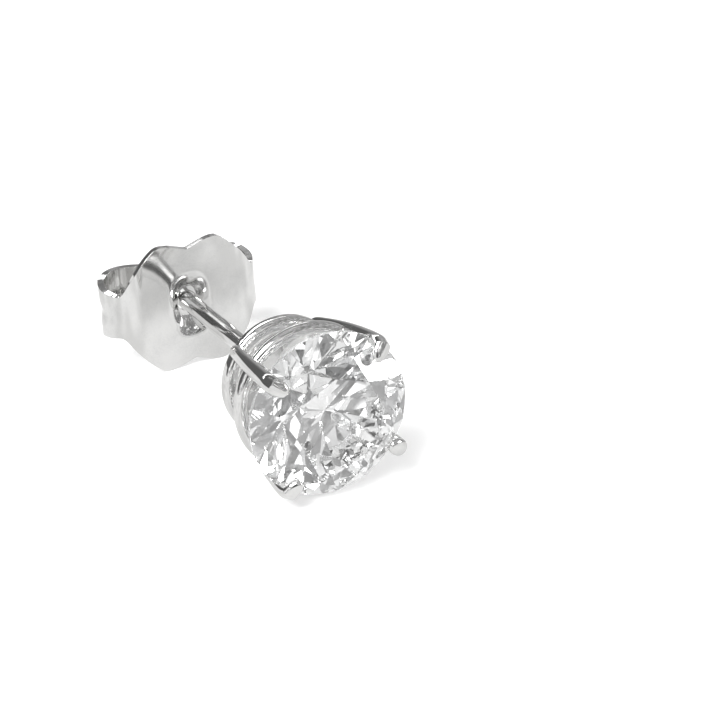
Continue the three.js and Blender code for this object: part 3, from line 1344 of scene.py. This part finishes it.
@dataclass(frozen=True)
class Room:
    """The room that the metal mirrors: pale cards and dark gaps before the earring, dark overhead and behind.

    A band is the pair of levels between which a mask goes from 0 to 1. The dark side is where the camera
    stands, by its azimuth, its elevation, and the angles at which the dark starts and has ended.
    """

    back: float = 0.12
    side: float = 0.26
    top: float = 0.3
    gap: float = 0.18
    card: float = 1.0
    glint: float = 2.2
    card_scale: float = 7.0
    glint_scale: float = 15.0
    detail: float = 1.5
    low_band: Point2 = (0.7, 0.95)
    top_band: Point2 = (0.78, 0.97)
    ahead_band: Point2 = (-0.3, 0.2)
    left_band: Point2 = (-0.3, 0.1)
    right_band: Point2 = (0.05, 0.5)
    dark_side: tuple[float, float, float, float] = (-26.0, 15.0, 14.0, 24.0)
    card_band: Point2 = (0.44, 0.55)
    glint_band: Point2 = (0.61, 0.66)
    texture_band: Point2 = (0.38, 0.6)
    texture_low: float = 0.55
    texture_rise: float = 0.9
    strength: float = 2.0

    def world(self) -> bpy.types.World:
        """Builds the room's nodes. The camera itself sees plain white.

        Returns:
            The world.
        """
        made = bpy.data.worlds.new("room")
        graph = Graph(made)
        place = graph.node("ShaderNodeTexCoord", output="Generated")
        width, depth, height = (
            graph.node("ShaderNodeSeparateXYZ", None, {0: place}, axis) for axis in ("X", "Y", "Z")
        )
        low = 1.0 - graph.between(height, *self.low_band)
        top = graph.between(height, *self.top_band)
        ahead = 1.0 - graph.between(depth, *self.ahead_band)
        left = 1.0 - graph.between(width, *self.left_band)
        right = graph.between(width, *self.right_band)
        camera_side = graph.toward(place, *self.dark_side)
        patches, specks = (
            graph.node(
                "ShaderNodeTexNoise", None, {"Vector": place, "Scale": scale, "Detail": self.detail}, "Fac"
            )
            for scale in (self.card_scale, self.glint_scale)
        )
        cards = graph.between(patches, *self.card_band) * (self.card - self.gap) + self.gap
        glints = graph.between(specks, *self.glint_band) * self.glint
        front = ahead * (left * cards + (1.0 - left) * self.gap + glints) * (1.0 - camera_side)
        texture = graph.between(specks, *self.texture_band) * self.texture_rise + self.texture_low
        sides = low * (front + right * (1.0 - ahead) * self.side)
        shade = texture * (sides + top * (glints + self.top)) + self.back
        tone = graph.blend(shade * (1 / self.strength), (0.0, 0.0, 0.0), (1.0, 1.0, 1.0))
        room = graph.node("ShaderNodeBackground", None, {"Color": tone, "Strength": self.strength})
        page = graph.node("ShaderNodeBackground", None, {"Color": (1.0, 1.0, 1.0, 1.0), "Strength": 1.0})
        seen = graph.node("ShaderNodeLightPath", output="Is Camera Ray")
        mixed = graph.node("ShaderNodeMixShader", None, {0: seen, 1: room, 2: page})
        graph.finish("ShaderNodeOutputWorld", mixed)
        return made


@dataclass
class Studio:
    """The white card, the lights, the room that the metal mirrors, and the camera."""

    view: Viewpoint = field(default_factory=Viewpoint)
    room: Room = field(default_factory=Room)
    lights: tuple[Softbox, ...] = (
        Softbox("key", azimuth=-66, elevation=52, distance=0.3, size=(0.16, 0.16), power=1.3),
        Softbox("front_strip", azimuth=2, elevation=34, distance=0.32, size=(0.15, 0.026), power=0.015),
        Softbox("back_strip", azimuth=-182, elevation=34, distance=0.32, size=(0.34, 0.026), power=0.12),
        Softbox("back_low", azimuth=-150, elevation=27, distance=0.32, size=(0.08, 0.02), power=0.022),
        Softbox("side", azimuth=78, elevation=12, distance=0.3, size=(0.1, 0.07), power=0.15),
    )
    floor_half: float = 0.4
    bounces: int = 24

    def floor(self) -> bpy.types.Object:
        """Lays a wide sheet of white card under the earring.

        Returns:
            The card.
        """
        half = self.floor_half
        corners = [(-half, -half, 0.0), (half, -half, 0.0), (half, half, 0.0), (-half, half, 0.0)]
        made = held(mesh_from("white_card", corners, [(0, 1, 2, 3)]))
        made.data.materials.append(PaleFloor().material())
        made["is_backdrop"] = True
        return made

    def build(self) -> None:
        """Sets up the whole studio."""
        self.floor()
        bpy.context.scene.world = self.room.world()
        low, high = (Vector(corner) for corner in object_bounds())
        for light in self.lights:
            light.light((low + high) / 2)
        self.view.camera()
        scene = bpy.context.scene
        scene.view_settings.view_transform = "Standard"
        scene.view_settings.look = "None"
        for limit in ("max_bounces", "glossy_bounces", "transmission_bounces"):
            setattr(scene.cycles, limit, self.bounces)  # light turns many times inside the stone
        LOG.info("studio: %d lights, camera at %.0f mm", len(self.lights), self.view.distance)


def main() -> None:
    """Loads the frame, dresses every piece and sets up the studio."""
    logging.basicConfig(level=logging.INFO, format="%(name)s: %(message)s")
    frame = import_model()
    stone = Stone()
    brilliant = stone.mesh()
    resting = Resting.on_ground(frame["joints"][0]["axis"], brilliant)
    stone.place(brilliant, resting)
    Basket(stone).place(resting)
    ButterflyBack().place(resting)
    Studio().build()


if __name__ == "__main__":
    main()
